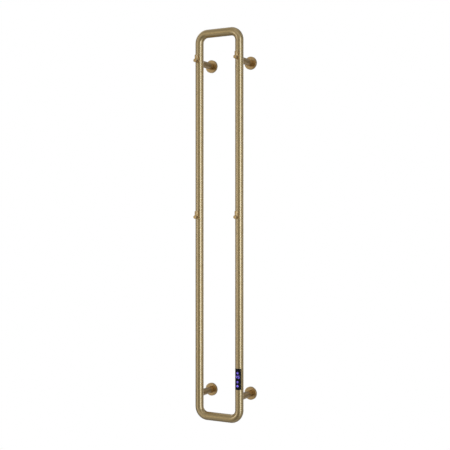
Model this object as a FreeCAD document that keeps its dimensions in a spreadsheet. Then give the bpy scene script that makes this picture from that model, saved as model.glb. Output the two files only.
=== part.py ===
import FreeCAD, Part
import math
import os

import Sketcher

# A wall-hung towel warmer: one upright loop of round tube on four posts, with four towel hooks,
# and a touch control let into the right leg.  Millimetres.  +Z is up and +Y goes into the wall.
# The origin is on the wall plane, in the middle of the four wall plates.

SIZES = {
    # the loop of tube
    "overall_height": 1200,
    "tube_diameter": 25.4,
    "tube_wall": 1.5,
    "leg_spacing": 138,
    "bend_radius": 28,
    "wall_distance": 80,
    # the four posts, and where they stand below the top and above the bottom of the loop
    "top_bracket_drop": 100,
    "bottom_bracket_rise": 79,
    "post_diameter": 20,
    "post_bore": 15,
    "post_web": 5,
    # the cover rosettes, which slide along the posts
    "rosette_diameter": 40,
    "rosette_depth": 6.5,
    "rosette_sheet": 1.4,
    "rosette_rounding": 0.8,
    "rosette_collar": 1.8,
    "rosette_hole_gap": 0.3,
    "ring_section": 1.6,
    "running_gap": 0.06,
    # the wall plates under them
    "plate_diameter": 34,
    "plate_thickness": 2.5,
    "plate_hole": 4.5,
    "plate_hole_head": 8,
    "plate_hole_spacing": 25,
    "spigot_diameter": 14.8,
    "spigot_length": 14,
    "grub_diameter": 4,
    "grub_length": 4.6,
    "grub_distance": 11,
    "grub_key_width": 2,
    "grub_recess": 0.2,
    "grub_seat_play": 0.4,
    "grub_seat_depth": 3,
    # the cable entry through the lower right post
    "entry_bore": 9,
    "grommet_bore": 6.5,
    "grommet_length": 7,
    "grommet_flange": 12,
    "grommet_flange_depth": 1.5,
    "nipple_diameter": 8,
    "nipple_bore": 5.5,
    "nut_width": 12,
    "nut_depth": 3,
    "tag_depth": 0.8,
    "tag_diameter": 14,
    "tongue_width": 4,
    "tongue_length": 9,
    "tongue_gap": 0.1,
    # fasteners inside the tube
    "screw_diameter": 6,
    "screw_head": 10,
    "screw_head_depth": 6,
    "socket_width": 5,
    "insert_diameter": 11,
    "insert_depth": 6,
    "stud_diameter": 5,
    "stud_depth": 9,
    "stud_insert_diameter": 8,
    "stud_end_gap": 0.5,
    "thread_gap": 0.05,
    "web_hole_play": 0.2,
    # the hooks
    "hook_diameter": 11,
    "hook_reach": 29.8,
    "hook_upright_distance": 19.4,
    "hook_upright_height": 18.4,
    "hook_rounding": 0.6,
    "top_hook_drop": 96,
    "middle_hook_drop": 576,
    # the touch control in the right leg
    "panel_rise": 136,
    "panel_length": 64,
    "panel_half_angle": 53,
    "panel_corner": 1.5,
    "gasket_width": 0.35,
    "carrier_length": 74,
    "carrier_sheet": 1.2,
    "carrier_gap": 0.1,
    "ledge_width": 1.8,
    "board_thickness": 1,
    "board_ledge": 6,
    "display_board_width": 17,
    "power_board_width": 18,
    "board_length": 64,
    "board_hole": 2.2,
    "board_hole_inset": 2.5,
    "icon_offset": 19,
    "digit_offset": 7,
    "digit_module_width": 11,
    "digit_module_length": 9.5,
    "digit_module_depth": 2.2,
    "lamp_width": 2.8,
    "lamp_depth": 1.6,
    "touch_spring_diameter": 6.4,
    "touch_spring_wire": 0.5,
    "touch_spring_depth": 2.4,
    "terminal_width": 11,
    "terminal_depth": 6.5,
    "terminal_height": 10,
    "terminal_inset": 8,
    "terminal_hole": 2.4,
    "terminal_hole_depth": 4,
    "terminal_pitch": 3.4,
    "triac_width": 10,
    "triac_depth": 4.4,
    "triac_height": 14,
    "triac_rise": 20,
    "capacitor_diameter": 6.3,
    "capacitor_length": 11,
    "capacitor_drop": 4,
    "header_width": 10,
    "header_height": 2.5,
    "header_inset": 4,
    # the heating cable and what clips to it
    "cable_diameter": 5.2,
    "sleeve_diameter": 7,
    "sleeve_length": 16,
    "sleeve_gap": 0.1,
    "lead_diameter": 2.4,
    "lead_offset": 1.25,
    "lead_gap": 1,
    "sensor_gap": 6,
    "sensor_diameter": 3,
    "sensor_length": 9,
    "fuse_diameter": 3.6,
    "fuse_length": 11,
}

SIDES = {"left": -1, "right": 1}
ENDS = {"top": 1, "bottom": -1}
UP = FreeCAD.Vector(0, 0, 1)
BACK = FreeCAD.Vector(0, 1, 0)
FRONT = FreeCAD.Vector(0, -1, 0)
START = 1
END = 2
CENTRE = 3
PAST = 1  # how far a cut runs past the surface that it opens
CLOSE = 0.001
LEAST_CUT = 0.1

doc = FreeCAD.newDocument("TowelWarmer")
sheet = doc.addObject("Spreadsheet::Sheet", "Sizes")
nodes = []


# ---------------------------------------------------------------------------------------- sizes


class Size:
    """A size taken from the sheet: its value, and the expression that binds a property to it."""

    def __init__(self, text, value):
        self.text = text
        self.value = value

    def joined(self, sign, other, value):
        return Size(f"({self.text} {sign} {other.text})", value)

    def __add__(self, other):
        other = as_size(other)
        return self.joined("+", other, self.value + other.value)

    def __sub__(self, other):
        other = as_size(other)
        return self.joined("-", other, self.value - other.value)

    def __mul__(self, other):
        other = as_size(other)
        return self.joined("*", other, self.value * other.value)

    def __truediv__(self, other):
        other = as_size(other)
        return self.joined("/", other, self.value / other.value)

    def __rsub__(self, other):
        return as_size(other) - self

    def __neg__(self):
        return self * -1

    __radd__ = __add__
    __rmul__ = __mul__


def as_size(item):
    return item if isinstance(item, Size) else Size(f"({item})", float(item))


def size(alias):
    return Size("Sizes." + alias, float(SIZES[alias]))


def square_root(item):
    return Size(f"sqrt({item.text})", math.sqrt(item.value))


def sine(angle):
    return Size(f"sin({angle.text})", math.sin(math.radians(angle.value)))


def fill_sheet():
    for row, (alias, value) in enumerate(SIZES.items(), start=1):
        sheet.set(f"A{row}", alias.replace("_", " "))
        sheet.set(f"B{row}", str(value))
        sheet.setAlias(f"B{row}", alias)
    doc.recompute()


def bind(thing, prop, item):
    item = as_size(item)
    thing.setExpression(prop, item.text)


def place(thing, x=0, y=0, z=0, rotation=None):
    """Put a piece where it belongs: the place is bound to the sheet, the turn is fixed."""
    turned = FreeCAD.Placement()
    turned.Rotation = rotation or FreeCAD.Rotation()
    thing.Placement = turned
    for letter, item in zip("xyz", (x, y, z)):
        bind(thing, "Placement.Base." + letter, item)
    return thing


# ------------------------------------------------------------------------ primitives and booleans


def solid(kind, name, **sizes):
    thing = doc.addObject("Part::" + kind, name)
    for prop, item in sizes.items():
        bind(thing, prop, item)
    return thing


def rod(name, diameter, length, towards=UP, x=0, y=0, z=0):
    thing = solid("Cylinder", name, Radius=as_size(diameter) / 2, Height=length)
    return place(thing, x, y, z, FreeCAD.Rotation(UP, towards))


def block(name, width, depth, height, x=0, y=0, z=0):
    """A box centred on x and z, with its front face at y."""
    width, height = as_size(width), as_size(height)
    thing = solid("Box", name, Length=width, Width=depth, Height=height)
    return place(thing, x - width / 2, y, z - height / 2)


def cut(name, base, *tools):
    for number, tool in enumerate(tools, start=1):
        last = number == len(tools)
        result = doc.addObject("Part::Cut", name if last else f"{name}_step{number}")
        result.Base = base
        result.Tool = tool
        base = result
    return base


def joined(name, *pieces):
    result = doc.addObject("Part::MultiFuse", name)
    result.Shapes = list(pieces)
    return result


def shared(name, first, second):
    result = doc.addObject("Part::Common", name)
    result.Base = first
    result.Tool = second
    return result


def grouped(name, pieces):
    """Identical pieces that stay separate solids in one node."""
    result = doc.addObject("Part::Compound", name)
    result.Links = pieces
    return result


def keep(thing, label):
    """Make this object a sub-part: its label is the node's name."""
    thing.Label = label
    nodes.append(thing)
    return thing


# ------------------------------------------------------------------------- bodies and sketches


def plane(body, role):
    return next(item for item in body.Origin.OriginFeatures if item.Role == role)


def sketch_on(body, role, name):
    sketch = body.newObject("Sketcher::SketchObject", f"{body.Name}_{name}")
    sketch.AttachmentSupport = [(plane(body, role), "")]
    sketch.MapMode = "FlatFace"
    return sketch


def pin(sketch, kind, item, *where):
    """Add one dimension to a sketch and bind it to the sheet."""
    item = as_size(item)
    number = sketch.addConstraint(Sketcher.Constraint(kind, *where, item.value))
    sketch.setExpression(f"Constraints[{number}]", item.text)


def pin_point(sketch, geometry, point, x=None, y=None):
    if x is not None:
        pin(sketch, "DistanceX", x, -1, 1, geometry, point)
    if y is not None:
        pin(sketch, "DistanceY", y, -1, 1, geometry, point)


def vector(x, y):
    return FreeCAD.Vector(as_size(x).value, as_size(y).value, 0)


def draw_circle(sketch, diameter, x=0, y=0):
    radius = as_size(diameter) / 2
    number = sketch.addGeometry(Part.Circle(vector(x, y), UP, radius.value))
    pin(sketch, "Radius", radius, number)
    pin_point(sketch, number, CENTRE, x, y)


def draw_outline(sketch, points):
    """A closed outline of straight sides through these corners."""
    count = len(points)
    for here, there in zip(points, points[1:] + points[:1]):
        sketch.addGeometry(Part.LineSegment(vector(*here), vector(*there)))
    for number, (x, y) in enumerate(points):
        before = (number - 1) % count
        sketch.addConstraint(Sketcher.Constraint("Coincident", number, START, before, END))
        pin_point(sketch, number, START, x, y)


def draw_box(sketch, width, height, x=0, y=0):
    half_width, half_height = as_size(width) / 2, as_size(height) / 2
    left, right = x - half_width, x + half_width
    low, high = y - half_height, y + half_height
    draw_outline(sketch, [(left, low), (right, low), (right, high), (left, high)])


def draw_quarter(sketch, centre, radius, first, second):
    """A quarter arc about a centre, between two unit directions; returns its number and its two ends."""
    x, y = centre
    turn = first[0] * second[1] - first[1] * second[0]
    low, high = (first, second) if turn > 0 else (second, first)
    angle = math.atan2(low[1], low[0])
    circle = Part.Circle(vector(x, y), UP, radius.value)
    number = sketch.addGeometry(Part.ArcOfCircle(circle, angle, angle + math.pi / 2))
    pin(sketch, "Radius", radius, number)
    pin_point(sketch, number, CENTRE, x, y)
    for point, way in ((START, low), (END, high)):
        if way[0] == 0:
            pin_point(sketch, number, point, x=x)
        else:
            pin_point(sketch, number, point, y=y)
    return number, (START, END) if turn > 0 else (END, START)


def draw_route(sketch, corners, radius):
    """Runs along the sketch's axes from the first corner to the last, with a quarter arc at each turn."""
    corners = [(as_size(x), as_size(y)) for x, y in corners]
    stops = [(corners[0], None)]
    for before, corner, after in zip(corners, corners[1:], corners[2:]):
        back, onward = heading(corner, before), heading(corner, after)
        centre = tuple(c + radius * (b + o) for c, b, o in zip(corner, back, onward))
        first, second = tuple(-o for o in onward), tuple(-b for b in back)
        number, ends = draw_quarter(sketch, centre, radius, first, second)
        entry = tuple(c + radius * b for c, b in zip(corner, back))
        leaving = tuple(c + radius * o for c, o in zip(corner, onward))
        stops += [(entry, (number, ends[0])), (leaving, (number, ends[1]))]
    stops.append((corners[-1], None))
    for (here, here_end), (there, there_end) in zip(stops[::2], stops[1::2]):
        if heading(here, there) == (0, 0):
            continue
        number = sketch.addGeometry(Part.LineSegment(vector(*here), vector(*there)))
        for point, place_at, end in ((START, here, here_end), (END, there, there_end)):
            if end:
                sketch.addConstraint(Sketcher.Constraint("Coincident", number, point, *end))
            else:
                pin_point(sketch, number, point, *place_at)


def heading(here, there):
    """The unit direction from one corner to the next along the sketch's axes, or 0, 0 if they meet."""
    steps = [b.value - a.value for a, b in zip(here, there)]
    return tuple(0 if abs(step) < CLOSE else int(math.copysign(1, step)) for step in steps)


def feature(body, kind, name, **settings):
    thing = body.newObject("PartDesign::" + kind, f"{body.Name}_{name}")
    for prop, item in settings.items():
        if isinstance(item, Size):
            bind(thing, prop, item)
        else:
            setattr(thing, prop, item)
    return thing


def pocket(body, name, sketch, depth, reverse):
    """Cut a sketch's outline into the body, and make sure that it took something away."""
    doc.recompute()
    before = body.Shape.Volume
    thing = feature(body, "Pocket", name, Profile=sketch, Length=depth, Reversed=reverse)
    doc.recompute()
    if body.Shape.Volume > before - LEAST_CUT:
        raise ValueError(f"{thing.Label} cuts nothing")
    return thing


def round_edges(body, name, radius, chosen):
    """Fillet the edges of the body that a test picks."""
    doc.recompute()
    base = body.Tip
    picked = [f"Edge{number}" for number, edge in enumerate(base.Shape.Edges, start=1) if chosen(edge)]
    return feature(body, "Fillet", name, Base=(base, picked), Radius=radius)


def ring_edge(height, radius, axis=2):
    """A test for a full circle at a height along an axis, with a radius."""

    def chosen(edge):
        curve = edge.Curve
        if not isinstance(curve, Part.Circle):
            return False
        return abs(curve.Center[axis] - height.value) < CLOSE and abs(curve.Radius - radius.value) < CLOSE

    return chosen


def draw_rounded_box(sketch, width, height, radius, x=0, y=0):
    """A rectangle with rounded corners."""
    inner_width, inner_height = as_size(width) / 2 - radius, as_size(height) / 2 - radius
    turns = [((1, 0), (0, 1)), ((0, 1), (-1, 0)), ((-1, 0), (0, -1)), ((0, -1), (1, 0))]
    corners = []
    for first, second in turns:
        way = (first[0] + second[0], first[1] + second[1])
        centre = (x + inner_width * way[0], y + inner_height * way[1])
        number, ends = draw_quarter(sketch, centre, radius, first, second)
        start = (centre[0] + radius * first[0], centre[1] + radius * first[1])
        stop = (centre[0] + radius * second[0], centre[1] + radius * second[1])
        corners.append((number, start, stop))
    for (here, _, leaving), (there, entry, _) in zip(corners, corners[1:] + corners[:1]):
        number = sketch.addGeometry(Part.LineSegment(vector(*leaving), vector(*entry)))
        sketch.addConstraint(Sketcher.Constraint("Coincident", number, START, here, END))
        sketch.addConstraint(Sketcher.Constraint("Coincident", number, END, there, START))


# --------------------------------------------------------------------------- places in the row

fill_sheet()

tube_radius = size("tube_diameter") / 2
bore_radius = tube_radius - size("tube_wall")
half_spacing = size("leg_spacing") / 2
half_rise = (size("overall_height") - size("top_bracket_drop") - size("bottom_bracket_rise")) / 2
loop_top = half_rise + size("top_bracket_drop")
loop_bottom = -half_rise - size("bottom_bracket_rise")
leg_top = loop_top - tube_radius - size("bend_radius")
leg_bottom = loop_bottom + tube_radius + size("bend_radius")
leg_y = -size("wall_distance")
post_reach = size("wall_distance") - size("plate_thickness")
web_back = tube_radius + size("post_web")
panel_z = loop_bottom + size("panel_rise")
hook_heights = {"top": loop_top - size("top_hook_drop"), "middle": loop_top - size("middle_hook_drop")}
insert_edge = square_root(tube_radius * tube_radius - size("insert_diameter") * size("insert_diameter") / 4)
stud_insert_edge = square_root(
    tube_radius * tube_radius - size("stud_insert_diameter") * size("stud_insert_diameter") / 4
)


def brackets():
    """The four brackets: name, x and z of each."""
    for end, up in ENDS.items():
        for side, across in SIDES.items():
            yield f"{end}_{side}", half_spacing * across, half_rise * up


def hooks():
    """The four hooks: name, x and z of each."""
    for level, height in hook_heights.items():
        for side, across in SIDES.items():
            yield f"{level}_{side}", half_spacing * across, height


def is_cable_entry(name):
    return name == "bottom_right"


# -------------------------------------------------------------------------------- loop of tube


def leg(side):
    """A straight leg with its hook holes in front and its post holes behind."""
    body = doc.addObject("PartDesign::Body", side + "_leg")
    section = sketch_on(body, "XY_Plane", "section")
    draw_circle(section, size("tube_diameter"))
    draw_circle(section, bore_radius * 2)
    feature(body, "Pad", "drawn", Profile=section, Length=leg_top - leg_bottom)
    fronts = sketch_on(body, "XZ_Plane", "hook_holes")
    for height in hook_heights.values():
        draw_circle(fronts, size("stud_insert_diameter"), 0, height - leg_bottom)
    pocket(body, "hooks", fronts, tube_radius + PAST, True)
    backs = sketch_on(body, "XZ_Plane", "post_holes")
    for up in ENDS.values():
        draw_circle(backs, size("insert_diameter"), 0, half_rise * up - leg_bottom)
    pocket(body, "posts", backs, tube_radius + PAST, False)
    if side == "right":
        window = sketch_on(body, "XZ_Plane", "window")
        draw_rounded_box(window, window_width, size("panel_length"), size("panel_corner"),
                         0, panel_z - leg_bottom)
        pocket(body, "control", window, tube_radius + PAST, True)
    place(body, half_spacing * SIDES[side], leg_y, leg_bottom)
    keep(body, side + "_leg_tube")


def bend(end):
    """A U of tube across the ends of the legs."""
    body = doc.addObject("PartDesign::Body", end + "_u")
    section = sketch_on(body, "XY_Plane", "section")
    draw_circle(section, size("tube_diameter"), -half_spacing, 0)
    draw_circle(section, bore_radius * 2, -half_spacing, 0)
    route = sketch_on(body, "XZ_Plane", "route")
    rise = size("bend_radius")
    corners = [(-half_spacing, 0), (-half_spacing, rise), (half_spacing, rise), (half_spacing, 0)]
    draw_route(route, corners, rise)
    doc.recompute()
    feature(body, "AdditivePipe", "sweep", Profile=section, Spine=route)
    if end == "top":
        place(body, 0, leg_y, leg_top)
    else:
        place(body, 0, leg_y, leg_bottom, FreeCAD.Rotation(BACK, 180))
    keep(body, end + "_bend")


# ------------------------------------------------------------------------------------ brackets


def post(name, x, z):
    """A turned post: shaped to the leg in front, bored from behind, with a web for its screw."""
    body = doc.addObject("PartDesign::Body", name + "_standoff")
    outside = sketch_on(body, "XZ_Plane", "outside")
    draw_circle(outside, size("post_diameter"))
    feature(body, "Pad", "turned", Profile=outside, Length=post_reach - tube_radius / 2)
    saddle = sketch_on(body, "XY_Plane", "saddle")
    draw_circle(saddle, size("tube_diameter"), 0, -post_reach)
    pocket(body, "saddle_up", saddle, size("post_diameter"), True)
    pocket(body, "saddle_down", saddle, size("post_diameter"), False)
    bore = sketch_on(body, "XZ_Plane", "bore")
    draw_circle(bore, size("post_bore"))
    pocket(body, "bored", bore, post_reach - web_back, True)
    hole = sketch_on(body, "XZ_Plane", "hole")
    through = size("nipple_diameter") if is_cable_entry(name) else size("screw_diameter")
    draw_circle(hole, through + size("web_hole_play"))
    pocket(body, "holed", hole, post_reach, True)
    tapping = sketch_on(body, "XY_Plane", "tapping")
    draw_circle(tapping, size("grub_diameter"), 0, size("plate_thickness") - size("grub_distance"))
    pocket(body, "tapped", tapping, size("post_diameter"), False)
    place(body, x, -size("plate_thickness"), z)
    keep(body, name + "_post")


def wall_plate(name, x, z):
    """A round plate with a spigot that the post slips over, and two countersunk holes."""
    label = name + "_plate"
    thick = size("plate_thickness")
    sink = (size("plate_hole_head") - size("plate_hole")) / 2
    disc = rod(label + "_disc", size("plate_diameter"), thick, FRONT)
    spigot = rod(label + "_spigot", size("spigot_diameter"), size("spigot_length") + thick, FRONT)
    seat = size("grub_seat_depth") - size("spigot_diameter") / 2
    tools = [rod(label + "_grub", size("grub_diameter") + size("grub_seat_play"), size("spigot_diameter"),
                 -UP, 0, -size("grub_distance"), seat)]
    for side, across in SIDES.items():
        at = size("plate_hole_spacing") / 2 * across
        tools.append(rod(f"{label}_{side}_hole", size("plate_hole"), thick, FRONT, at))
        cone = solid("Cone", f"{label}_{side}_sink", Radius1=size("plate_hole") / 2,
                     Radius2=size("plate_hole_head") / 2, Height=sink)
        tools.append(place(cone, at, sink - thick, 0, FreeCAD.Rotation(UP, FRONT)))
    if is_cable_entry(name):
        tools.append(rod(label + "_entry", size("entry_bore"), size("spigot_length") + thick, FRONT))
        tools.append(rod(label + "_seat", size("grommet_flange"), size("grommet_flange_depth"), FRONT))
    plate = cut(label, joined(label + "_blank", disc, spigot), *tools)
    keep(place(plate, x, 0, z), name + "_wall_plate")


def rosette(name, x, z):
    """A spun cover cup with a grooved collar round the post."""
    body = doc.addObject("PartDesign::Body", name + "_cover")
    section = sketch_on(body, "XY_Plane", "section")
    rim = size("rosette_diameter") / 2
    front = -size("rosette_depth")
    sheet_back = front + size("rosette_sheet")
    hole = size("post_diameter") / 2 + size("rosette_hole_gap")
    groove = size("post_diameter") / 2 + size("running_gap") + size("ring_section")
    lip = size("ring_section") / 2
    collar = groove + size("rosette_collar") / 2
    collar_back = front + lip * 2 + size("ring_section")
    draw_outline(section, [
        (rim, 0), (rim, front), (hole, front), (hole, front + lip), (groove, front + lip),
        (groove, collar_back - lip), (hole, collar_back - lip), (hole, collar_back),
        (collar, collar_back), (collar, sheet_back),
        (rim - size("rosette_sheet"), sheet_back), (rim - size("rosette_sheet"), 0),
    ])
    feature(body, "Revolution", "spun", Profile=section, ReferenceAxis=(section, ["V_Axis"]), Angle=360)
    round_edges(body, "rounded", size("rosette_rounding"), ring_edge(front, rim, axis=1))
    place(body, x, 0, z)
    keep(body, name + "_rosette")
    ring = solid("Torus", name + "_ring", Radius1=groove - size("ring_section") / 2,
                 Radius2=size("ring_section") / 2)
    place(ring, x, front + size("ring_section"), z, FreeCAD.Rotation(UP, FRONT))
    keep(ring, name + "_rosette_ring")


def grub_screws():
    screws = []
    for name, x, z in brackets():
        thread = size("grub_diameter") - size("thread_gap") * 2
        shank = rod(name + "_grub_shank", thread, size("grub_length"))
        key = solid("Prism", name + "_grub_key", Circumradius=size("grub_key_width") / math.sqrt(3),
                    Height=size("grub_length") / 2)
        low = z - size("post_diameter") / 2 + size("grub_recess")
        screws.append(place(cut(name + "_grub", shank, key), x, -size("grub_distance"), low))
    keep(grouped("grub_set", screws), "grub_screws")


def post_screws():
    """Socket screws that clamp three of the posts to the threaded bushes in the legs."""
    screws = []
    for name, x, z in brackets():
        if is_cable_entry(name):
            continue
        head = rod(name + "_screw_head", size("screw_head"), size("screw_head_depth"), BACK)
        reach = size("post_web") + tube_radius - insert_edge + size("insert_depth")
        shank = rod(name + "_screw_shank", size("screw_diameter"), reach, FRONT)
        key = solid("Prism", name + "_screw_key", Circumradius=size("socket_width") / math.sqrt(3),
                    Height=size("screw_head_depth") / 2)
        place(key, 0, size("screw_head_depth") / 2, 0, FreeCAD.Rotation(UP, BACK))
        screw = cut(name + "_screw", joined(name + "_screw_blank", head, shank), key)
        screws.append(place(screw, x, leg_y + web_back, z))
    keep(grouped("post_screw_set", screws), "post_screws")


def bush(name, outside, bore, depth, x, y, z, towards):
    """A plain threaded bush, welded into the wall of the tube."""
    shell = rod(name + "_shell", outside, depth, towards)
    hole = rod(name + "_hole", bore, depth, towards)
    return place(cut(name, shell, hole), x, y, z)


def post_bushes():
    bushes = []
    for name, x, z in brackets():
        bore = size("nipple_diameter") if is_cable_entry(name) else size("screw_diameter")
        made = bush(name + "_bush", size("insert_diameter"), bore + size("thread_gap") * 2,
                    size("insert_depth"), x, leg_y + insert_edge, z, FRONT)
        if is_cable_entry(name):
            keep(made, "nipple_bush")
        else:
            bushes.append(made)
    keep(grouped("post_bush_set", bushes), "post_bushes")


# -------------------------------------------------------------------------------- cable entry


def cable_entry():
    """The hollow nipple, its nut and earth tag in the lower right post, and the grommet at the wall."""
    x, z = half_spacing, -half_rise
    web_y = leg_y + web_back
    nut_back = web_y + size("tag_depth") + size("nut_depth")
    inner_end = leg_y + insert_edge - size("insert_depth")
    reach = nut_back + size("nut_depth") / 2 - inner_end
    tube = rod("nipple_tube", size("nipple_diameter"), reach, BACK)
    bore = rod("nipple_bore_tool", size("nipple_bore"), reach, BACK)
    keep(place(cut("nipple", tube, bore), x, inner_end, z), "cable_nipple")

    clear = size("nipple_diameter") + size("thread_gap") * 2
    hexagon = solid("Prism", "nut_hexagon", Circumradius=size("nut_width") / math.sqrt(3),
                    Height=size("nut_depth"))
    place(hexagon, 0, 0, 0, FreeCAD.Rotation(UP, BACK))
    nut_hole = rod("nut_hole", clear, size("nut_depth"), BACK)
    keep(place(cut("nut", hexagon, nut_hole), x, web_y + size("tag_depth"), z), "nipple_nut")

    washer = rod("tag_washer", size("tag_diameter"), size("tag_depth"), BACK)
    tongue_z = size("nut_width") / 2 + size("tongue_gap") + size("tag_depth") / 2
    tongue = block("tag_tongue", size("tongue_width"), size("tongue_length"), size("tag_depth"),
                   0, 0, tongue_z)
    tag_hole = rod("tag_hole", clear, size("tag_depth"), BACK)
    keep(place(cut("tag", joined("tag_blank", washer, tongue), tag_hole), x, web_y, z), "earth_tag")

    flange = rod("grommet_flange_disc", size("grommet_flange"), size("grommet_flange_depth"), FRONT)
    sleeve = rod("grommet_sleeve", size("entry_bore"), size("grommet_length"), FRONT)
    throat = rod("grommet_throat", size("grommet_bore"), size("grommet_length"), FRONT)
    grommet = cut("grommet", joined("grommet_blank", flange, sleeve), throat)
    keep(place(grommet, x, 0, z), "cable_grommet")


# --------------------------------------------------------------------------------------- hooks


def hook(name, x, z):
    """A peg with an upright pin on it, shaped to the leg and tapped for its stud."""
    body = doc.addObject("PartDesign::Body", name + "_peg")
    across = sketch_on(body, "XZ_Plane", "across")
    draw_circle(across, size("hook_diameter"))
    feature(body, "Pad", "peg", Profile=across, Length=size("hook_reach"))
    upright = sketch_on(body, "XY_Plane", "upright")
    draw_circle(upright, size("hook_diameter"), 0, -size("hook_upright_distance"))
    feature(body, "Pad", "pin", Profile=upright, Length=size("hook_upright_height"))
    radius = size("hook_diameter") / 2
    round_edges(body, "peg_edge", size("hook_rounding"), ring_edge(-size("hook_reach"), radius, axis=1))
    round_edges(body, "pin_edge", size("hook_rounding"), ring_edge(size("hook_upright_height"), radius))
    saddle = sketch_on(body, "XY_Plane", "saddle")
    draw_circle(saddle, size("tube_diameter"))
    pocket(body, "saddle_up", saddle, size("hook_diameter"), True)
    pocket(body, "saddle_down", saddle, size("hook_diameter"), False)
    tapping = sketch_on(body, "XZ_Plane", "tapping")
    draw_circle(tapping, size("stud_diameter") + size("thread_gap") * 2)
    pocket(body, "tapped", tapping, tube_radius + size("stud_depth"), True)
    place(body, x, leg_y, z)
    keep(body, name + "_hook")


def hook_fixings():
    studs = []
    bushes = []
    for name, x, z in hooks():
        inner_end = leg_y - stud_insert_edge + size("insert_depth")
        outer_end = leg_y - tube_radius - size("stud_depth") + size("stud_end_gap")
        stud_length = inner_end - outer_end
        studs.append(rod(name + "_stud", size("stud_diameter"), stud_length, FRONT, x, inner_end, z))
        bushes.append(bush(name + "_stud_bush", size("stud_insert_diameter"),
                           size("stud_diameter") + size("thread_gap") * 2, size("insert_depth"),
                           x, inner_end, z, FRONT))
    keep(grouped("stud_set", studs), "hook_studs")
    keep(grouped("stud_bush_set", bushes), "hook_bushes")


# ------------------------------------------------------------------------------- touch control

window_width = size("tube_diameter") * sine(size("panel_half_angle"))


def rounded_prism(name, margin):
    """A rounded rectangular bar that points forward, smaller than the window by a margin all round."""
    body = doc.addObject("PartDesign::Body", name)
    outline = sketch_on(body, "XZ_Plane", "outline")
    draw_rounded_box(outline, window_width - margin * 2, size("panel_length") - margin * 2,
                     size("panel_corner") - margin)
    feature(body, "Pad", "bar", Profile=outline, Length=tube_radius + PAST)
    return body


def tube_sleeve(name):
    """A length of the leg's own wall, as long as the window."""
    length = size("panel_length")
    outer = rod(name + "_outer", size("tube_diameter"), length, UP, 0, 0, -length / 2)
    inner = rod(name + "_inner", bore_radius * 2, length, UP, 0, 0, -length / 2)
    return cut(name, outer, inner)


def at_panel(thing, label):
    keep(place(thing, half_spacing, leg_y, panel_z), label)


def lens_and_gasket():
    gasket = size("gasket_width")
    at_panel(shared("lens", tube_sleeve("lens_wall"), rounded_prism("lens_bar", gasket)), "touch_lens")
    filling = rounded_prism("gasket_bar", as_size(0))
    frame = cut("gasket_frame", filling, rounded_prism("gasket_gap", gasket))
    at_panel(shared("gasket", tube_sleeve("gasket_wall"), frame), "lens_gasket")


def control_carrier():
    """A trough with closed ends and two ledges, which slides up inside the leg and holds the boards."""
    length = size("carrier_length")
    skin = size("carrier_sheet")
    radius = bore_radius - size("carrier_gap")
    outer = rod("carrier_outer", radius * 2, length, UP, 0, 0, -length / 2)
    hollow = rod("carrier_hollow", (radius - skin) * 2, length - skin * 2, UP, 0, 0, skin - length / 2)
    front = block("carrier_front", radius * 2, radius, length, 0, -size("board_ledge") - radius, 0)
    passage = rod("carrier_passage", size("sleeve_diameter"), length, UP, 0, 0, -length / 2)
    trough = cut("carrier_trough", outer, hollow, front, passage)
    width = size("ledge_width")
    ledges = []
    for side, across in SIDES.items():
        ledges.append(block(f"carrier_{side}_ledge", width, skin, size("board_length"),
                            (radius - width) * across, size("board_thickness"), 0))
    at_panel(joined("carrier", trough, *ledges), "control_carrier")


def circuit_board(name, width, y):
    """A flat board with a fixing hole at each end."""
    body = doc.addObject("PartDesign::Body", name + "_card")
    outline = sketch_on(body, "XZ_Plane", "outline")
    draw_box(outline, width, size("board_length"), 0, 0)
    inset = size("board_hole_inset")
    for up in ENDS.values():
        draw_circle(outline, size("board_hole"), width / 2 - inset, (size("board_length") / 2 - inset) * up)
    feature(body, "Pad", "card", Profile=outline, Length=size("board_thickness"))
    place(body, half_spacing, leg_y + y, panel_z)
    keep(body, name)


def control_parts():
    board = size("board_thickness")
    card_front = -size("board_ledge") - board
    circuit_board("display_board", size("display_board_width"), -size("board_ledge"))
    circuit_board("power_board", size("power_board_width"), board)
    digit_depth = size("digit_module_depth")
    digits = block("digit_block", size("digit_module_width"), digit_depth, size("digit_module_length"),
                   0, card_front - digit_depth, size("digit_offset"))
    at_panel(grouped("digit_group", [digits]), "digit_display")
    lamps = []
    springs = []
    spots = {"upper": size("icon_offset"), "middle": -size("digit_offset"), "lower": -size("icon_offset")}
    for spot, z in spots.items():
        lamps.append(block(spot + "_lamp", size("lamp_width"), size("lamp_depth"), size("lamp_width"),
                           0, card_front - size("lamp_depth"), z))
        outside = rod(spot + "_coil", size("touch_spring_diameter"), size("touch_spring_depth"), FRONT)
        inside = rod(spot + "_coil_bore", size("touch_spring_diameter") - size("touch_spring_wire") * 2,
                     size("touch_spring_depth"), FRONT)
        springs.append(place(cut(spot + "_spring", outside, inside), 0, card_front, z))
    at_panel(grouped("lamp_set", lamps), "indicator_lamps")
    at_panel(grouped("spring_set", springs), "touch_springs")


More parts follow.
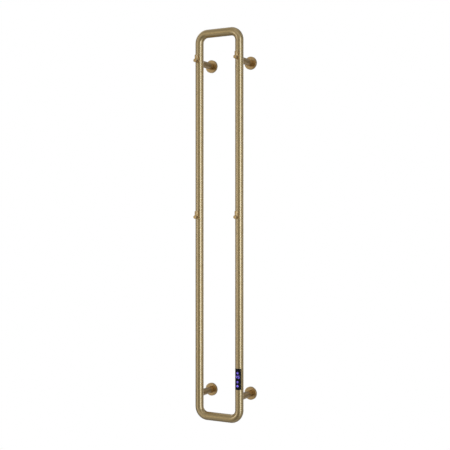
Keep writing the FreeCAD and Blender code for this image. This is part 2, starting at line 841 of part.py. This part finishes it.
def power_parts():
    """What stands on the back of the power board, and the header between the two boards."""
    back = size("board_thickness")
    board_end = -size("board_length") / 2
    screw_z = board_end + size("terminal_inset")
    shell = block("terminal_shell", size("terminal_width"), size("terminal_depth"), size("terminal_height"),
                  0, back, screw_z)
    holes = [rod(f"terminal_hole_{number}", size("terminal_hole"), size("terminal_hole_depth"), FRONT,
                 size("terminal_pitch") * number, back + size("terminal_depth"), screw_z)
             for number in (-1, 0, 1)]
    at_panel(cut("terminal", shell, *holes), "terminal_block")
    case = block("triac_case", size("triac_width"), size("triac_depth"), size("triac_height"),
                 0, back, size("triac_rise"))
    at_panel(grouped("triac_group", [case]), "triac")
    can = rod("capacitor_can", size("capacitor_diameter"), size("capacitor_length"), UP,
              0, back + size("capacitor_diameter") / 2, -size("capacitor_drop"))
    at_panel(grouped("capacitor_group", [can]), "smoothing_capacitor")
    header = block("header_block", size("header_width"), size("board_ledge"), size("header_height"),
                   0, -size("board_ledge"), board_end + size("header_inset"))
    at_panel(grouped("header_group", [header]), "board_header")


# --------------------------------------------------------------------------------- heating cable


def heating():
    """The heating cable round the whole loop, its crimp sleeves and leads, and what senses its heat."""
    tail = size("sleeve_length") / 2
    end_gap = size("carrier_length") / 2 + tail
    first, last = panel_z + end_gap, panel_z - end_gap
    top_line, bottom_line = loop_top - tube_radius - first, loop_bottom + tube_radius - first
    body = doc.addObject("PartDesign::Body", "heater")
    section = sketch_on(body, "XY_Plane", "section")
    draw_circle(section, size("cable_diameter"), half_spacing, 0)
    route = sketch_on(body, "XZ_Plane", "route")
    draw_route(route, [
        (half_spacing, 0), (half_spacing, top_line), (-half_spacing, top_line),
        (-half_spacing, bottom_line), (half_spacing, bottom_line), (half_spacing, last - first),
    ], size("bend_radius"))
    doc.recompute()
    feature(body, "AdditivePipe", "sweep", Profile=section, Spine=route)
    place(body, 0, leg_y, first)
    keep(body, "heating_cable")

    sleeves = []
    leads = []
    for end, up in ENDS.items():
        middle = end_gap * up - tail
        outside = rod(end + "_sleeve_outside", size("sleeve_diameter"), size("sleeve_length"), UP)
        inside = rod(end + "_sleeve_inside", size("cable_diameter") + size("sleeve_gap"),
                     size("sleeve_length"), UP)
        sleeves.append(place(cut(end + "_sleeve", outside, inside), 0, 0, middle))
        reach = end_gap - size("board_length") / 2 - size("lead_gap")
        low = end_gap - reach if up > 0 else -end_gap
        for side, across in SIDES.items():
            leads.append(rod(f"{end}_{side}_lead", size("lead_diameter"), reach, UP,
                             size("lead_offset") * across, 0, low))
    at_panel(grouped("sleeve_set", sleeves), "crimp_sleeves")
    at_panel(grouped("lead_set", leads), "control_leads")

    above = size("carrier_length") / 2 + size("sensor_gap")
    sensor = rod("sensor_bead", size("sensor_diameter"), size("sensor_length"), UP,
                 size("sensor_diameter") / 2 - bore_radius, 0, above)
    at_panel(grouped("sensor_group", [sensor]), "temperature_sensor")
    fuse = rod("fuse_body", size("fuse_diameter"), size("fuse_length"), UP,
               bore_radius - size("fuse_diameter") / 2, 0, above)
    at_panel(grouped("fuse_group", [fuse]), "thermal_fuse")


# ------------------------------------------------------------------------------ build and write


def check_model():
    """Stop if any object failed or any sub-part is not sound."""
    doc.recompute()
    for thing in doc.Objects:
        if "Invalid" in thing.State or "Error" in thing.State:
            raise ValueError(f"{thing.Label}: {thing.State}")
    for thing in nodes:
        if thing.Shape.isNull() or not thing.Shape.isValid() or not thing.Shape.Solids:
            raise ValueError(f"{thing.Label} is not a sound solid")


def write_parts():
    os.makedirs("parts", exist_ok=True)
    for thing in nodes:
        thing.Shape.exportStep(f"parts/{thing.Label}.step")
        print(f"{thing.Label:28s} {len(thing.Shape.Solids)} solids {thing.Shape.Volume:12.1f} mm3")


for side_name in SIDES:
    leg(side_name)
for end_name in ENDS:
    bend(end_name)
for bracket in brackets():
    post(*bracket)
    wall_plate(*bracket)
    rosette(*bracket)
grub_screws()
post_screws()
post_bushes()
cable_entry()
for one_hook in hooks():
    hook(*one_hook)
hook_fixings()
lens_and_gasket()
control_carrier()
control_parts()
power_parts()
heating()
check_model()
write_parts()
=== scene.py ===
import math

import bmesh
import bpy
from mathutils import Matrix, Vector


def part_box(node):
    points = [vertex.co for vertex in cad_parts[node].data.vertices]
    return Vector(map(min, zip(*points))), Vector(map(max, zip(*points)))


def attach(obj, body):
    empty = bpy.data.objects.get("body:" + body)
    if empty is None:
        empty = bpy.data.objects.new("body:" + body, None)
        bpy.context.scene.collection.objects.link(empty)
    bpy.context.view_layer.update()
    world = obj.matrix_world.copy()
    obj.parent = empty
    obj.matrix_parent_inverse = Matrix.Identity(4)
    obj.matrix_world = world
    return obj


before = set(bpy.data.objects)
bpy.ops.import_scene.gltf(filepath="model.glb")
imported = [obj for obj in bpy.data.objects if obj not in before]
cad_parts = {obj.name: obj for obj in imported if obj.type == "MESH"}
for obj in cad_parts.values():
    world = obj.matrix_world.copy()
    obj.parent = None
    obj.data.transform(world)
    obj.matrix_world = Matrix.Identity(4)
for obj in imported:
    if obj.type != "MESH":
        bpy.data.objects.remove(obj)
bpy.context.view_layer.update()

# A wall-hung towel warmer: a closed loop of brushed brass tube with four hooks and a touch control.
# Lengths are in metres and angles in degrees.  +Z is up and +Y goes into the wall.

MM = 0.001
LOOP = ("left_leg_tube", "right_leg_tube", "top_bend", "bottom_bend")
CORNERS = ("top_left", "top_right", "bottom_left", "bottom_right")
HOOKS = ("top_left", "top_right", "middle_left", "middle_right")


def middle(name):
    """The centre of a node's box."""
    low_corner, high_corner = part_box(name)
    return (Vector(low_corner) + Vector(high_corner)) / 2


def extent(name):
    """The size of a node's box."""
    low_corner, high_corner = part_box(name)
    return Vector(high_corner) - Vector(low_corner)


def heights(name):
    """The lowest and the highest level of a node's box."""
    low_corner, high_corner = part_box(name)
    return low_corner[2], high_corner[2]


leg_middle = middle("right_leg_tube")
tube_radius = extent("right_leg_tube").x / 2
bend_start, loop_top = heights("top_bend")
bend_radius = loop_top - bend_start - tube_radius
loop_bottom, _ = heights("bottom_bend")
lens_middle = middle("touch_lens")


# -------------------------------------------------------------------------------- shader helpers

# Where a Mix node keeps the sockets that it uses for colours.
MIX_FACTOR, MIX_FIRST, MIX_SECOND, MIX_RESULT = 0, 6, 7, 2


def feed(tree, socket, value):
    """Link another node's output to a socket, or set the socket's own value."""
    if isinstance(value, bpy.types.NodeSocket):
        tree.links.new(value, socket)
    else:
        socket.default_value = value


def node(tree, kind, *inputs, **settings):
    """A new shader node, with its first sockets fed in order."""
    made = tree.nodes.new("ShaderNode" + kind)
    for name, value in settings.items():
        setattr(made, name, value)
    for socket, value in zip(made.inputs, inputs):
        feed(tree, socket, value)
    return made


def calc(tree, operation, *inputs):
    return node(tree, "Math", *inputs, operation=operation).outputs[0]


def weighted(tree, first, first_weight, second, second_weight):
    """Two values added up, each times its weight."""
    return calc(
        tree, "ADD",
        calc(tree, "MULTIPLY", first, first_weight),
        calc(tree, "MULTIPLY", second, second_weight),
    )


def distance(tree, x, y):
    """How far a flat point is from the origin."""
    return calc(tree, "SQRT", weighted(tree, x, x, y, y))


def ramp(tree, value, low_value, high_value, first=0.0, last=1.0):
    """A smooth step from first to last as the value goes from low to high."""
    made = node(
        tree, "MapRange", value, low_value, high_value, first, last, interpolation_type="SMOOTHSTEP"
    )
    return made.outputs[0]


def between(tree, factor, first, second):
    """A colour between two, by a factor."""
    made = node(tree, "Mix", data_type="RGBA")
    feed(tree, made.inputs[MIX_FACTOR], factor)
    feed(tree, made.inputs[MIX_FIRST], first)
    feed(tree, made.inputs[MIX_SECOND], second)
    return made.outputs[MIX_RESULT]


def noise(tree, vector, scale, detail):
    made = node(tree, "TexNoise", vector)
    made.inputs["Scale"].default_value = scale
    made.inputs["Detail"].default_value = detail
    return made.outputs[0]


def own_place(tree):
    """The shaded point in its piece's own frame, which at rest is the rack's for all but the floor."""
    return node(tree, "TexCoord").outputs["Object"]


def own_xyz(tree):
    return tuple(node(tree, "SeparateXYZ", own_place(tree)).outputs)


def grain(tree, size, detail=3.0):
    """Even noise with features of about this size."""
    return noise(tree, own_place(tree), 1 / size, detail)


def brush_marks(tree, across, along, width, length):
    """Noise drawn out in one direction, in marks of about this width and length."""
    stretched = node(
        tree, "CombineXYZ",
        calc(tree, "MULTIPLY", across[0], 1 / width),
        calc(tree, "MULTIPLY", across[1], 1 / width),
        calc(tree, "MULTIPLY", along, 1 / length),
    )
    return noise(tree, stretched.outputs[0], scale=1.0, detail=2.0)


def add_bump(tree, inputs, height, strength, depth):
    bump = node(tree, "Bump")
    bump.inputs["Strength"].default_value = strength
    bump.inputs["Distance"].default_value = depth
    feed(tree, bump.inputs["Height"], height)
    feed(tree, inputs["Normal"], bump.outputs[0])


def colour(red, green, blue):
    return (red, green, blue, 1.0)


BLACK = colour(0, 0, 0)
WHITE = colour(1, 1, 1)


def material(name, **settings):
    """A new material, with settings on its shader's own sockets."""
    made = bpy.data.materials.new(name)
    made.use_nodes = True
    tree = made.node_tree
    shader = tree.nodes["Principled BSDF"]
    for socket, value in settings.items():
        shader.inputs[socket.replace("_", " ")].default_value = value
    return made, tree, shader.inputs


def dress(name, made):
    """Give a CAD node this material in every slot."""
    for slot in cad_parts[name].material_slots:
        slot.link = "OBJECT"
        slot.material = made


# ----------------------------------------------------------------------------------------- brass

# Each brass has a dark and a light tone, under a clear lacquer.
LOOP_TONES = (colour(0.56, 0.392, 0.142), colour(0.62, 0.440, 0.165))
LOOP_ROUGHNESS = 0.40
LOOP_LACQUER = {"Coat_Weight": 1.0, "Coat_Roughness": 0.16, "Coat_IOR": 2.0}
# The turned pieces' tones are painted redder and lighter than the loop's: a painted reflection of the
# brass around them, not a different brass.
TURNED_TONES_WITH_PAINTED_REFLECTION = (colour(0.64, 0.425, 0.175), colour(0.70, 0.480, 0.210))
TURNED_ROUGHNESS = 0.30
TURNED_LACQUER = {"Coat_Weight": 0.6, "Coat_Roughness": 0.12, "Coat_IOR": 1.7}

# How fast the marks change round a turned piece, compared with along a straight one.
TURNED_DRIFT = 0.5

HAIRLINE_WIDTH = 0.35 * MM
HAIRLINE_LENGTH = 25 * MM
HAIRLINE_DEPTH = 0.02 * MM
HAIRLINE_STRENGTH = 0.10
STREAK_WIDTH = 2.2 * MM
STREAK_LENGTH = 140 * MM
HAIRLINE_TONE = 0.6
STREAK_TONE = 0.4
TONE_LOW = 0.3
TONE_HIGH = 0.7
POLISH = 0.06


def brushed(tree, inputs, across, along, rough, tones):
    """Grain that runs along a surface: fine hairlines and broader streaks of polish and tone."""
    fine = brush_marks(tree, across, along, HAIRLINE_WIDTH, HAIRLINE_LENGTH)
    broad = brush_marks(tree, across, along, STREAK_WIDTH, STREAK_LENGTH)
    tone = weighted(tree, fine, HAIRLINE_TONE, broad, STREAK_TONE)
    shade = ramp(tree, tone, TONE_LOW, TONE_HIGH)
    feed(tree, inputs["Base Color"], between(tree, shade, *tones))
    polish = weighted(tree, fine, POLISH, broad, POLISH)
    feed(tree, inputs["Roughness"], calc(tree, "ADD", polish, rough - POLISH))
    add_bump(tree, inputs, fine, HAIRLINE_STRENGTH, HAIRLINE_DEPTH)


def loop_brass():
    """Brass brushed along the tube, all the way round the loop and through its bends."""
    made, tree, inputs = material("brass_tube", Metallic=1.0, **LOOP_LACQUER)
    x, y, z = own_xyz(tree)
    half_height = (loop_top - loop_bottom) / 2 - tube_radius
    level = calc(tree, "SUBTRACT", z, (loop_top + loop_bottom) / 2)
    # How far a point lies outside the rectangle whose corners are the bends' centres.
    out_x = calc(tree, "SUBTRACT", calc(tree, "ABSOLUTE", x), leg_middle.x - bend_radius)
    out_z = calc(tree, "SUBTRACT", calc(tree, "ABSOLUTE", level), half_height - bend_radius)
    outside = distance(
        tree, calc(tree, "MAXIMUM", out_x, 0.0), calc(tree, "MAXIMUM", out_z, 0.0)
    )
    inside = calc(tree, "MINIMUM", calc(tree, "MAXIMUM", out_x, out_z), 0.0)
    outward = calc(tree, "ADD", outside, inside)
    brushed(tree, inputs, (outward, y), calc(tree, "ADD", x, z), LOOP_ROUGHNESS, LOOP_TONES)
    return made


def turned_brass(name, axis_x, axis_z):
    """Brass brushed round an axis that points out of the wall. Its tones are painted redder and
    lighter, standing in for the reddish reflection it catches from the brass around it.
    """
    made, tree, inputs = material(name, Metallic=1.0, **TURNED_LACQUER)
    x, y, z = own_xyz(tree)
    off_x = calc(tree, "SUBTRACT", x, axis_x)
    off_z = calc(tree, "SUBTRACT", z, axis_z)
    radius = distance(tree, off_x, off_z)
    along = calc(tree, "MULTIPLY", calc(tree, "ADD", off_x, off_z), TURNED_DRIFT)
    brushed(tree, inputs, (radius, y), along, TURNED_ROUGHNESS, TURNED_TONES_WITH_PAINTED_REFLECTION)
    return made


tube_brass = loop_brass()
for loop_piece in LOOP:
    dress(loop_piece, tube_brass)

for corner in CORNERS:
    axis = middle(corner + "_rosette")
    corner_brass = turned_brass(corner + "_brass", axis.x, axis.z)
    dress(corner + "_rosette", corner_brass)
    dress(corner + "_post", corner_brass)

for place in HOOKS:
    hook = place + "_hook"
    hook_low, _ = heights(hook)
    peg_radius = extent(hook).x / 2
    dress(hook, turned_brass(hook + "_brass", middle(hook).x, hook_low + peg_radius))


# ------------------------------------------------------------------------------- other materials

ROUGHNESS_SPREAD = 0.06
GRAIN_LOW = 0.2
GRAIN_HIGH = 0.8
MOULDED_STRENGTH = 0.5


def plain(name, nodes, tones, size, rough, metallic=0.0, depth=0.0):
    """Dress nodes in a moulded or plated surface: two close tones in a fine grain of this size."""
    made, tree, inputs = material(name, Metallic=metallic)
    fine = grain(tree, size)
    feed(tree, inputs["Base Color"], between(tree, fine, *tones))
    smoothest = rough - ROUGHNESS_SPREAD
    roughest = rough + ROUGHNESS_SPREAD
    feed(tree, inputs["Roughness"], ramp(tree, fine, GRAIN_LOW, GRAIN_HIGH, smoothest, roughest))
    if depth:
        add_bump(tree, inputs, fine, MOULDED_STRENGTH, depth)
    for dressed in nodes:
        dress(dressed, made)


def at_corners(ending):
    return [corner_name + ending for corner_name in CORNERS]


plain(
    "zinc_plate",
    at_corners("_wall_plate") + [
        "grub_screws", "post_screws", "post_bushes", "nipple_bush", "hook_studs", "hook_bushes",
    ],
    (colour(0.56, 0.57, 0.60), colour(0.70, 0.71, 0.73)),
    size=1.5 * MM, rough=0.36, metallic=1.0,
)
plain(
    "tinned_brass",
    ["cable_nipple", "nipple_nut", "earth_tag", "touch_springs", "crimp_sleeves"],
    (colour(0.70, 0.66, 0.55), colour(0.80, 0.77, 0.68)),
    size=0.8 * MM, rough=0.3, metallic=1.0,
)
plain(
    "rubber",
    at_corners("_rosette_ring") + ["cable_grommet"],
    (colour(0.014, 0.014, 0.015), colour(0.03, 0.03, 0.03)),
    size=0.4 * MM, rough=0.75, depth=0.02 * MM,
)
plain(
    "gasket_silicone",
    ["lens_gasket"],
    (colour(0.006, 0.006, 0.007), colour(0.014, 0.014, 0.015)),
    size=0.3 * MM, rough=0.6,
)
plain(
    "carrier_plastic",
    ["control_carrier"],
    (colour(0.015, 0.015, 0.017), colour(0.03, 0.03, 0.033)),
    size=0.5 * MM, rough=0.5, depth=0.01 * MM,
)
plain(
    "solder_mask",
    ["display_board", "power_board"],
    (colour(0.006, 0.07, 0.025), colour(0.012, 0.11, 0.04)),
    size=0.9 * MM, rough=0.32,
)
plain(
    "lamp_plastic",
    ["indicator_lamps"],
    (colour(0.72, 0.72, 0.80), colour(0.86, 0.86, 0.92)),
    size=0.6 * MM, rough=0.2,
)
plain(
    "component_plastic",
    ["digit_display", "terminal_block", "triac", "smoothing_capacitor", "board_header"],
    (colour(0.012, 0.012, 0.014), colour(0.022, 0.022, 0.025)),
    size=0.4 * MM, rough=0.45,
)
plain(
    "silicone_insulation",
    ["heating_cable", "control_leads"],
    (colour(0.36, 0.022, 0.012), colour(0.46, 0.04, 0.022)),
    size=2.0 * MM, rough=0.5,
)
plain(
    "sensor_ceramic",
    ["temperature_sensor", "thermal_fuse"],
    (colour(0.70, 0.66, 0.58), colour(0.80, 0.77, 0.70)),
    size=0.7 * MM, rough=0.4,
)


# ------------------------------------------------------------------------------- lens and lamps

# How far the middle of each figure is above the lens's middle.
FIGURE_OFFSETS = {"heat": 18.5 * MM, "digits": 7 * MM, "timer": -8.3 * MM, "power": -20.5 * MM}

LENS_BLACK = colour(0.010, 0.010, 0.012)
LENS_GLOSS = 0.08
LENS_SMOOTHEST = 0.26
LENS_ROUGHEST = 0.34
HAZE_SIZE = 6 * MM
HAZE_LOW = 0.3
HAZE_HIGH = 0.7
GLOW_COLOUR = colour(0.010, 0.008, 0.050)
GLOW_FULL_REACH = 2 * MM
GLOW_END_REACH = 7 * MM


def lens_black():
    """Smoked glossy plastic, with a faint glow where the lamps shine through it."""
    made, tree, inputs = material(
        "smoked_lens", Base_Color=LENS_BLACK, Specular_IOR_Level=LENS_GLOSS, Emission_Strength=1.0
    )
    x, _, z = own_xyz(tree)
    haze = grain(tree, HAZE_SIZE)
    rough = ramp(tree, haze, HAZE_LOW, HAZE_HIGH, LENS_SMOOTHEST, LENS_ROUGHEST)
    feed(tree, inputs["Roughness"], rough)
    across = calc(tree, "SUBTRACT", x, lens_middle.x)
    glow = 0.0
    for offset in FIGURE_OFFSETS.values():
        rise = calc(tree, "SUBTRACT", z, lens_middle.z + offset)
        reach = distance(tree, across, rise)
        spot = ramp(tree, reach, GLOW_FULL_REACH, GLOW_END_REACH, 1.0, 0.0)
        glow = calc(tree, "ADD", glow, spot)
    feed(tree, inputs["Emission Color"], between(tree, glow, BLACK, GLOW_COLOUR))
    return made


LAMP_BASE = colour(0.05, 0.04, 0.2)
LAMP_ROUGHNESS = 0.35
LAMP_BLUE = colour(0.20, 0.135, 0.95)
LAMP_VIOLET = colour(0.34, 0.24, 1.0)
LAMP_GRAIN = 1.6 * MM
LAMP_STRENGTH = 1.2
BRIGHT_STRENGTH = 1.6


def lamp_glow(name, strength):
    """Light from a lamp behind the lens, a little uneven across the figure."""
    made, tree, inputs = material(
        name, Base_Color=LAMP_BASE, Roughness=LAMP_ROUGHNESS, Emission_Strength=strength
    )
    uneven = grain(tree, LAMP_GRAIN, detail=2.0)
    feed(tree, inputs["Emission Color"], between(tree, uneven, LAMP_BLUE, LAMP_VIOLET))
    return made


# The figures are thin plates that stand just proud of the lens.
FIGURE_LIFT = 0.03 * MM
FIGURE_DEPTH = 0.05 * MM
STROKE_PITCH = 0.5 * MM
CAP_STEPS = 6
CIRCLE_STEPS = 24
WAVE_STEPS = 12


def wrap(across, up, lift):
    """A point of the lens's face: across is measured round the leg, up from the lens's middle."""
    angle = across / tube_radius
    reach = tube_radius + lift
    return Vector((
        leg_middle.x + reach * math.sin(angle),
        leg_middle.y - reach * math.cos(angle),
        lens_middle.z + up,
    ))


def add_plate(mesh, outline):
    """A thin closed plate with this outline, wrapped on the lens."""
    front = [mesh.verts.new(wrap(point.x, point.y, FIGURE_LIFT + FIGURE_DEPTH)) for point in outline]
    back = [mesh.verts.new(wrap(point.x, point.y, FIGURE_LIFT)) for point in outline]
    mesh.faces.new(front)
    mesh.faces.new(list(reversed(back)))
    count = len(outline)
    for index in range(count):
        following = (index + 1) % count
        mesh.faces.new((front[index], back[index], back[following], front[following]))


def round_end(end, edge, radius):
    """The points of a stroke's round end, from one edge of the stroke to the other."""
    start = math.atan2(edge.y - end.y, edge.x - end.x)
    angles = [start - math.pi * step / CAP_STEPS for step in range(1, CAP_STEPS)]
    return [end + Vector((math.cos(angle), math.sin(angle))) * radius for angle in angles]


def stroke_outline(points, width):
    """The outline of a line with round ends, in the flat."""
    half = width / 2
    left, right = [], []
    for index, point in enumerate(points):
        before = points[max(index - 1, 0)]
        after = points[min(index + 1, len(points) - 1)]
        ahead = (after - before).normalized()
        side = Vector((-ahead.y, ahead.x))
        left.append(point + side * half)
        right.append(point - side * half)
    far_end = round_end(points[-1], left[-1], half)
    near_end = round_end(points[0], right[0], half)
    return left + far_end + list(reversed(right)) + near_end


def add_stroke(mesh, points, width):
    """A plate in the shape of a line, with points close enough together to follow the lens."""
    finely = []
    for here, there in zip(points, points[1:]):
        count = max(1, round((there - here).length / STROKE_PITCH))
        finely += [here.lerp(there, step / count) for step in range(count)]
    finely.append(points[-1])
    add_plate(mesh, stroke_outline(finely, width))


def add_piece(name, mesh, finish):
    """A new object from a mesh in the making, with one material."""
    data = bpy.data.meshes.new(name)
    mesh.to_mesh(data)
    mesh.free()
    data.materials.append(finish)
    piece = bpy.data.objects.new(name, data)
    bpy.context.collection.objects.link(piece)
    return piece


def figure(name, strokes, finish, width):
    """Strokes of one width drawn on the lens, each a thin curved strip with rounded ends."""
    mesh = bmesh.new()
    for stroke in strokes:
        add_stroke(mesh, [Vector(point) for point in stroke], width)
    bmesh.ops.recalc_face_normals(mesh, faces=mesh.faces)
    piece = add_piece(name, mesh, finish)
    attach(piece, "rack")


def at_height(strokes, offset):
    return [[(x, y + offset) for x, y in stroke] for stroke in strokes]


def circle(radius, start=0.0, stop=360.0):
    """A circle or an arc of one about the origin."""
    turns = [start + (stop - start) * step / CIRCLE_STEPS for step in range(CIRCLE_STEPS + 1)]
    angles = [math.radians(turn) for turn in turns]
    return [(radius * math.cos(angle), radius * math.sin(angle)) for angle in angles]


WAVE_SWING = 0.45 * MM
WAVES = ((-2.0 * MM, 3.2 * MM), (0.0, 5.6 * MM), (2.0 * MM, 3.2 * MM))


def heat_strokes():
    """Three rising waves, each at its own distance to the side and with its own height."""
    strokes = []
    for shift, tall in WAVES:
        wave = []
        for step in range(WAVE_STEPS + 1):
            share = step / WAVE_STEPS
            sway = WAVE_SWING * math.sin(share * math.tau)
            wave.append((shift + sway, (share - 0.5) * tall))
        strokes.append(wave)
    return strokes


# The ends of each segment, in half widths and half heights of a digit.
SEGMENTS = {
    "top": ((-1, 1), (1, 1)),
    "middle": ((-1, 0), (1, 0)),
    "bottom": ((-1, -1), (1, -1)),
    "upper_left": ((-1, 1), (-1, 0)),
    "upper_right": ((1, 1), (1, 0)),
    "lower_right": ((1, 0), (1, -1)),
}
DIGITS = {
    "4": ("upper_left", "middle", "upper_right", "lower_right"),
    "5": ("top", "upper_left", "middle", "lower_right", "bottom"),
}
DIGIT_HALF_WIDTH = 2.1 * MM
DIGIT_HALF_HEIGHT = 3.9 * MM
DIGIT_PITCH = 7.4 * MM
DIGIT_SLANT = 0.26
SEGMENT_INSET = 0.16


def digit_strokes(text):
    """Slanted seven-segment figures, side by side, each segment a little short of its corners."""
    strokes = []
    for index, digit in enumerate(text):
        shift = (index - (len(text) - 1) / 2) * DIGIT_PITCH
        for segment in DIGITS[digit]:
            ends = []
            for here, there in (SEGMENTS[segment], reversed(SEGMENTS[segment])):
                x = here[0] + (there[0] - here[0]) * SEGMENT_INSET
                y = here[1] + (there[1] - here[1]) * SEGMENT_INSET
                up = y * DIGIT_HALF_HEIGHT
                ends.append((shift + x * DIGIT_HALF_WIDTH + up * DIGIT_SLANT, up))
            strokes.append(ends)
    return strokes


CLOCK_RADIUS = 2.4 * MM
MINUTE_HAND = 1.5 * MM
HOUR_HAND = 1.2 * MM
POWER_RADIUS = 2.3 * MM
POWER_ARC = (125, 415)
POWER_BAR = (0.6 * MM, 3.0 * MM)


def clock_strokes():
    return [circle(CLOCK_RADIUS), [(0, MINUTE_HAND), (0, 0), (HOUR_HAND, 0)]]


def power_strokes():
    """A ring that is open at the top, with an upright bar in the gap."""
    bar_low, bar_high = POWER_BAR
    return [circle(POWER_RADIUS, *POWER_ARC), [(0, bar_high), (0, bar_low)]]


dress("touch_lens", lens_black())
lamp_finish = lamp_glow("lamp_blue", LAMP_STRENGTH)
bright_finish = lamp_glow("lamp_bright", BRIGHT_STRENGTH)
for name, offset_name, strokes, finish, width in (
    ("heat_icon", "heat", heat_strokes(), lamp_finish, 1.0 * MM),
    ("digits", "digits", digit_strokes("45"), lamp_finish, 1.2 * MM),
    ("timer_icon", "timer", clock_strokes(), lamp_finish, 0.8 * MM),
    ("power_icon", "power", power_strokes(), bright_finish, 1.2 * MM),
):
    figure(name, at_height(strokes, FIGURE_OFFSETS[offset_name]), finish, width)


# ---------------------------------------------------------------------------------------- floor

FLOOR_DROP = 0.42
FLOOR_RADIUS = 1.15
FLOOR_EDGES = 96
FADE_START = 0.3
FADE_END = 0.95
FLOOR_LOOK = {
    "Base_Color": colour(0.85, 0.84, 0.83),
    "Roughness": 0.8,
    "Emission_Color": WHITE,
    "Emission_Strength": 0.5,
}


def floor():
    """A plain pale round floor that fades out at its edge and isn't reflected in the brass."""
    made, tree, inputs = material("pale_floor", **FLOOR_LOOK)
    x, y, _ = own_xyz(tree)
    reach = distance(tree, x, y)
    fade = ramp(tree, reach, FLOOR_RADIUS * FADE_START, FLOOR_RADIUS * FADE_END, 1.0, 0.0)
    feed(tree, inputs["Alpha"], fade)
    mesh = bmesh.new()
    bmesh.ops.create_circle(mesh, cap_ends=True, radius=FLOOR_RADIUS, segments=FLOOR_EDGES)
    piece = add_piece("floor", mesh, made)
    piece.location = (0, 0, loop_bottom - FLOOR_DROP)
    piece.visible_glossy = False


# ---------------------------------------------------------------------------------------- light


def grey(level):
    return (level, level, level)


# Soft panels far round the room: bearing, height angle, half width, half height and light.
# A half width of ALL_ROUND makes a panel even all the way round.
ALL_ROUND = 4000
PANELS = (
    (60, 0, 10, 30, (1.66, 2.05, 2.70)),
    (-42, 0, 9, 30, grey(0.80)),
    (180, 0, 14, 18, grey(0.85)),
    (-148, 0, 12, 18, grey(0.47)),
    (-122, 0, 14, 30, grey(0.60)),
    (-80, 0, 9, 16, grey(0.62)),
    (-46, 0, 11, 16, grey(1.15)),
    (-16, 0, 11, 16, grey(0.84)),
    (12, 0, 8, 16, grey(0.57)),
    (64, 0, 20, 18, grey(1.45)),
    (126, 0, 14, 18, grey(0.71)),
    (168, 0, 10, 18, grey(0.68)),
    (-110, 38, 42, 18, grey(0.88)),
    (10, 38, 42, 18, grey(0.74)),
    (130, 38, 42, 18, grey(0.42)),
    (-50, -38, 42, 18, grey(0.41)),
    (75, -38, 50, 18, grey(0.44)),
    (180, -38, 50, 18, grey(0.30)),
    (0, 90, ALL_ROUND, 30, grey(0.65)),
    (0, -90, ALL_ROUND, 30, grey(0.50)),
)


def hump(tree, value, half_width):
    """1 where the value is zero, falling off softly on both sides."""
    share = calc(tree, "DIVIDE", value, math.radians(half_width))
    return calc(tree, "EXPONENT", calc(tree, "MULTIPLY", calc(tree, "MULTIPLY", share, share), -1.0))


def studio():
    """White straight behind the rack, and a room of soft panels that light it."""
    world = bpy.data.worlds.new("studio")
    bpy.context.scene.world = world
    world.use_nodes = True
    tree = world.node_tree
    tree.nodes.clear()
    x, y, z = node(tree, "SeparateXYZ", node(tree, "TexCoord").outputs["Generated"]).outputs
    height = calc(tree, "ARCSINE", z)
    light = BLACK[:3]
    for bearing, rise, half_width, half_height, brightness in PANELS:
        # The bearing goes from straight in front of the rack towards the camera's side.
        towards_x = math.sin(math.radians(bearing))
        towards_y = -math.cos(math.radians(bearing))
        ahead = weighted(tree, x, towards_x, y, towards_y)
        aside = weighted(tree, y, towards_x, x, -towards_y)
        turn = calc(tree, "ARCTAN2", aside, ahead)
        off = calc(tree, "SUBTRACT", height, math.radians(rise))
        shape = calc(tree, "MULTIPLY", hump(tree, turn, half_width), hump(tree, off, half_height))
        added = node(tree, "VectorMath", shape, brightness, light, operation="MULTIPLY_ADD")
        light = added.outputs[0]
    room = node(tree, "Background", light, 1.0)
    white = node(tree, "Background", WHITE, 1.0)
    seen = node(tree, "LightPath").outputs["Is Camera Ray"]
    mixed = node(tree, "MixShader", seen, room.outputs[0], white.outputs[0])
    node(tree, "OutputWorld", mixed.outputs[0])


floor()
studio()


# --------------------------------------------------------------------------------------- camera

CAMERA_PLACE = (1.299, -2.4855, 0.0377)
CAMERA_BEARING = 28
FOCAL_LENGTH_MM = 71.6
SENSOR_WIDTH_MM = 36
SHIFT_DOWN = 0.02
FARTHEST_SEEN = 50


def camera():
    """At the height of the rack's middle, to the right of straight in front, looking level."""
    data = bpy.data.cameras.new("camera")
    data.sensor_width = SENSOR_WIDTH_MM
    data.lens = FOCAL_LENGTH_MM
    data.shift_y = -SHIFT_DOWN
    data.clip_end = FARTHEST_SEEN
    piece = bpy.data.objects.new("camera", data)
    piece.location = CAMERA_PLACE
    piece.rotation_euler = (math.pi / 2, 0, math.radians(CAMERA_BEARING))
    bpy.context.collection.objects.link(piece)
    bpy.context.scene.camera = piece


camera()
bpy.context.scene.view_settings.view_transform = "Standard"
